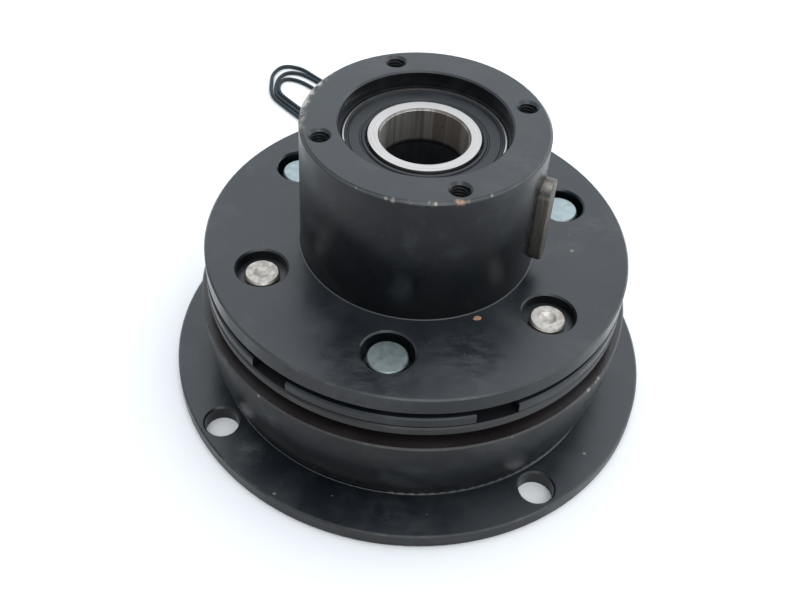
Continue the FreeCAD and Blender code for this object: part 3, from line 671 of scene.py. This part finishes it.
# ---- Rubber, resin, windings and insulation -----------------------------------------------------
def soft_black(name, roughness, tint, dusty):
    """Moulded rubber or resin, with fine grain and settled dust."""
    s = Surface(name, roughness=roughness)
    cloud = s.clouds(90.0, 5.0, 0.6)
    base = s.blend(s.between(cloud, 0.35, 0.65), (*tint, 1), tuple(c * 1.7 for c in tint) + (1,))
    dust = s.specks(480.0, 0.13, dusty)
    base = s.blend(s.times(dust, 0.6), base, (0.24, 0.23, 0.21, 1))
    s.colour(base)
    s.rough(s.between(cloud, 0.3, 0.7, roughness - 0.05, roughness + 0.07))
    s.bump(s.clouds(2200.0, 4.0, 0.65), 0.18, 0.00008)
    return s.material


def insulation():
    """Blue-black wire insulation with a soft shine, slightly uneven along its length."""
    s = Surface("lead_insulation", roughness=0.42, IOR=1.5, Specular_IOR_Level=0.30)
    cloud = s.clouds(160.0, 4.0, 0.6)
    s.colour(s.blend(s.between(cloud, 0.35, 0.65), (0.010, 0.019, 0.025, 1), (0.018, 0.030, 0.038, 1)))
    s.rough(s.between(cloud, 0.3, 0.7, 0.36, 0.48))
    s.bump(s.clouds(900.0, 3.0, 0.5), 0.10, 0.0001)
    return s.material


def winding():
    """Enamelled wire, laid turn beside turn."""
    s = Surface("enamelled_winding", roughness=0.28, metallic=0.8)
    z = s.parts()[2]
    rows = s.calc("SINE", s.calc("MULTIPLY", z, 2 * math.pi / 0.0008))
    cloud = s.clouds(200.0, 3.0, 0.5)
    s.colour(s.blend(s.between(cloud, 0.3, 0.7), (0.48, 0.20, 0.08, 1), (0.30, 0.11, 0.045, 1)))
    s.rough(s.between(cloud, 0.3, 0.7, 0.22, 0.34))
    s.bump(rows, 0.5, 0.0002)
    return s.material


def moulded(name, pale, dark, roughness):
    """A moulded or pressed plastic or friction material, with grain."""
    s = Surface(name, roughness=roughness)
    cloud = s.clouds(600.0, 5.0, 0.7)
    s.colour(s.blend(s.between(cloud, 0.35, 0.65), (*pale, 1), (*dark, 1)))
    s.rough(s.between(cloud, 0.3, 0.7, roughness - 0.06, roughness + 0.08))
    s.bump(cloud, 0.2, 0.0001)
    return s.material


seal_rubber = soft_black("seal_rubber", 0.40, (0.0095, 0.0120, 0.0145), 0.25)
thread_black = soft_black("oiled_thread", 0.45, (0.0030, 0.0036, 0.0042), 0.0)
thread_black.node_tree.nodes["Principled BSDF"].inputs["Specular IOR Level"].default_value = 0.22
bush_rubber = soft_black("bush_rubber", 0.55, (0.010, 0.010, 0.011), 0.12)
resin = soft_black("potting_resin", 0.30, (0.010, 0.010, 0.010), 0.10)
lead_black = insulation()
copper_wire = winding()
nylon = moulded("natural_nylon", (0.70, 0.67, 0.58), (0.58, 0.55, 0.47), 0.45)
copper_flake = moulded("copper_coloured_flake", (0.50, 0.27, 0.16), (0.36, 0.19, 0.12), 0.5)
lining_brown = moulded("friction_lining", (0.17, 0.135, 0.10), (0.08, 0.062, 0.046), 0.75)
tinned = plated("tinned_strands", (0.66, 0.65, 0.62), (0.50, 0.49, 0.46), 0.32, 0.05)

for name in nodes:
    if name.endswith(("_inner_ring", "_outer_ring", "_balls")):
        dress(name, upper_steel if name.startswith("upper") else lower_steel)
    elif name.endswith("_cage"):
        dress(name, cage_steel)
    elif name.endswith("_seal"):
        dress(name, seal_rubber)
    elif name.startswith("flange_screw"):
        dress(name, screw_black)
    elif name.startswith("spring_spacer"):
        dress(name, turned_steel)
    elif name.startswith("leaf_spring"):
        dress(name, blued_steel)
        dress(bending_spring(name[-1]), blued_steel)
    elif name.startswith("hub_rivet"):
        dress(name, nickel)
    elif name.startswith("armature_rivet"):
        dress(name, zinc)
dress(seal_piece, seal_rubber)
dress(flake_piece, copper_flake)
for piece in threads:
    dress(piece, thread_black)
dress("setting_collar", sleeve_black)
dress("spacer_sleeve", sleeve_black)
dress("retaining_ring", blued_steel)
dress("drive_key", key_steel)
dress("lead_grommet", bush_rubber)
dress("coil_potting", resin)
dress("coil_bobbin", nylon)
dress("coil_winding", copper_wire)
dress("friction_lining", lining_brown)
for piece in (lead_a, lead_b):
    dress(piece, lead_black)
for piece in (tip_a, tip_b):
    dress(piece, tinned)


# ---- Floor and light ----------------------------------------------------------------------------
def make_floor():
    bpy.ops.mesh.primitive_plane_add(size=6.0)
    floor = bpy.context.object
    floor.name = "floor"
    s = Surface("pale_floor", roughness=0.6)
    s.colour(s.blend(s.clouds(3.0), (0.90, 0.90, 0.90, 1), (0.92, 0.92, 0.92, 1)))
    dress(floor, s.material)


def soft_light(name, place, target, size, power, colour):
    light = bpy.data.lights.new(name, "AREA")
    light.shape = "RECTANGLE"
    light.size, light.size_y = size
    light.energy = power
    light.color = colour
    lamp = bpy.data.objects.new(name, light)
    lamp.location = place
    lamp.rotation_euler = (Vector(target) - Vector(place)).to_track_quat("-Z", "Y").to_euler()
    bpy.context.scene.collection.objects.link(lamp)


def make_world():
    """A pale room, brightest overhead and behind to the right, and dim low down in front."""
    world = bpy.data.worlds.new("studio")
    world.use_nodes = True
    bpy.context.scene.world = world
    tree = world.node_tree
    place = tree.nodes.new("ShaderNodeTexCoord")
    side = tree.nodes.new("ShaderNodeVectorMath")
    side.operation = "DOT_PRODUCT"
    side.inputs[1].default_value = Vector((0.30, 0.45, 0.84)).normalized()
    share = tree.nodes.new("ShaderNodeMapRange")
    share.interpolation_type = "SMOOTHSTEP"
    share.inputs[1].default_value = -0.35
    share.inputs[2].default_value = 0.75
    room = tree.nodes.new("ShaderNodeMix")
    room.data_type = "RGBA"
    room.inputs[6].default_value = (0.045, 0.055, 0.065, 1)
    room.inputs[7].default_value = (1.16, 1.24, 1.32, 1)
    tree.links.new(place.outputs["Generated"], side.inputs[0])
    tree.links.new(side.outputs["Value"], share.inputs[0])
    tree.links.new(share.outputs[0], room.inputs[0])
    tree.links.new(room.outputs[2], tree.nodes["Background"].inputs["Color"])


LAMP_COLOUR = (0.97, 0.99, 1.0)

make_floor()
make_world()
soft_light("overhead", (0.1, 0.0, 1.6), (0, 0, 0.0), (1.5, 1.5), 9.0, LAMP_COLOUR)
soft_light("window", (1.3, 0.9, 1.0), (0, 0, 0.05), (1.0, 0.8), 2.5, LAMP_COLOUR)
soft_light("front", (0.25, -1.15, 1.3), (0, 0, 0.05), (0.9, 0.5), 3.0, LAMP_COLOUR)
bpy.context.scene.view_settings.view_transform = "Standard"
